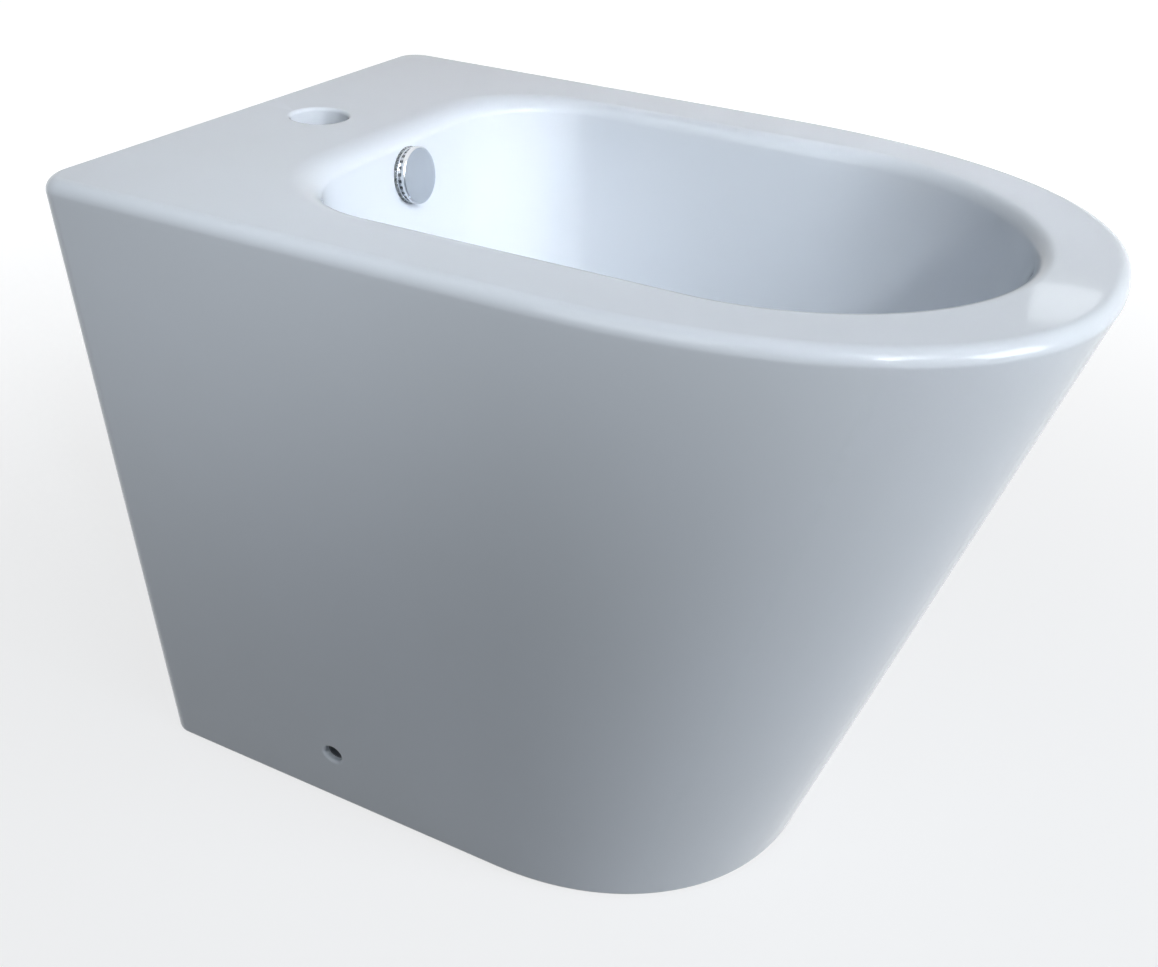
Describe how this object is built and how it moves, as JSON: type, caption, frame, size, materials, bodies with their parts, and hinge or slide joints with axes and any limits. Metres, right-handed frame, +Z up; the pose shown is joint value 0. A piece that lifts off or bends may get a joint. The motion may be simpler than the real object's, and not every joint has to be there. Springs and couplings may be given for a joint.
{
  "type": "floor standing bidet",
  "caption": "Back-to-wall floor standing bidet with a D-shaped bowl and rim, open tap hole, mirror overflow cap, push-button waste, bottle trap and side fixings.",
  "frame": {"origin": "on the floor, at the middle of the overall box", "axes": "+Z up, +Y towards the wall, so the rounded front of the bowl faces -Y"},
  "size_m": [0.36, 0.525, 0.408],
  "materials": {
    "glaze": "clear gloss glaze over white vitreous china",
    "chrome": "polished chrome plate",
    "brass": "machined, unplated",
    "rubber": "moulded, matt",
    "clear_seal": "clear grey silicone",
    "cartridge_plastic": "moulded acetal",
    "trap_plastic": "moulded white polypropylene",
    "dark_plastic": "moulded dark grey polypropylene",
    "steel": "zinc plated",
    "dark_steel": "black oxide"
  },
  "bodies": {
    "root": {"ceramic_body": "glaze", "overflow_seal": "clear_seal", "overflow_ring": "chrome", "overflow_cap": "chrome", "waste_flange": "chrome", "waste_top_seal": "rubber", "waste_bottom_seal": "rubber", "waste_washer": "steel", "waste_nut": "brass", "cartridge_body": "cartridge_plastic", "cartridge_cap": "cartridge_plastic", "click_spring": "steel", "trap_inlet_nut": "trap_plastic", "trap_inlet_washer": "rubber", "trap_inlet_tube": "trap_plastic", "trap_top_nut": "trap_plastic", "trap_top_seal": "rubber", "trap_head": "trap_plastic", "trap_cup": "trap_plastic", "trap_cup_seal": "rubber", "trap_outlet_nut": "trap_plastic", "trap_outlet_seal": "rubber", "trap_outlet_pipe": "trap_plastic", "floor_bracket_left": "steel", "floor_bracket_right": "steel", "side_sleeve_left": "dark_plastic", "side_sleeve_right": "dark_plastic", "side_screw_left": "dark_steel", "side_screw_right": "dark_steel", "side_nut_left": "steel", "side_nut_right": "steel"},
    "plug": {"waste_plug": "chrome", "plug_seal": "rubber", "plug_stem": "brass"}
  },
  "joints": [
    {"name": "plug_press", "type": "slide", "parent": "root", "child": "plug", "axis": [0, 0, 1], "range_m": [-0.008, 0], "stiffness_N_per_m": 200, "springref_m": 0.02, "deforming": ["click_spring"]}
  ]
}
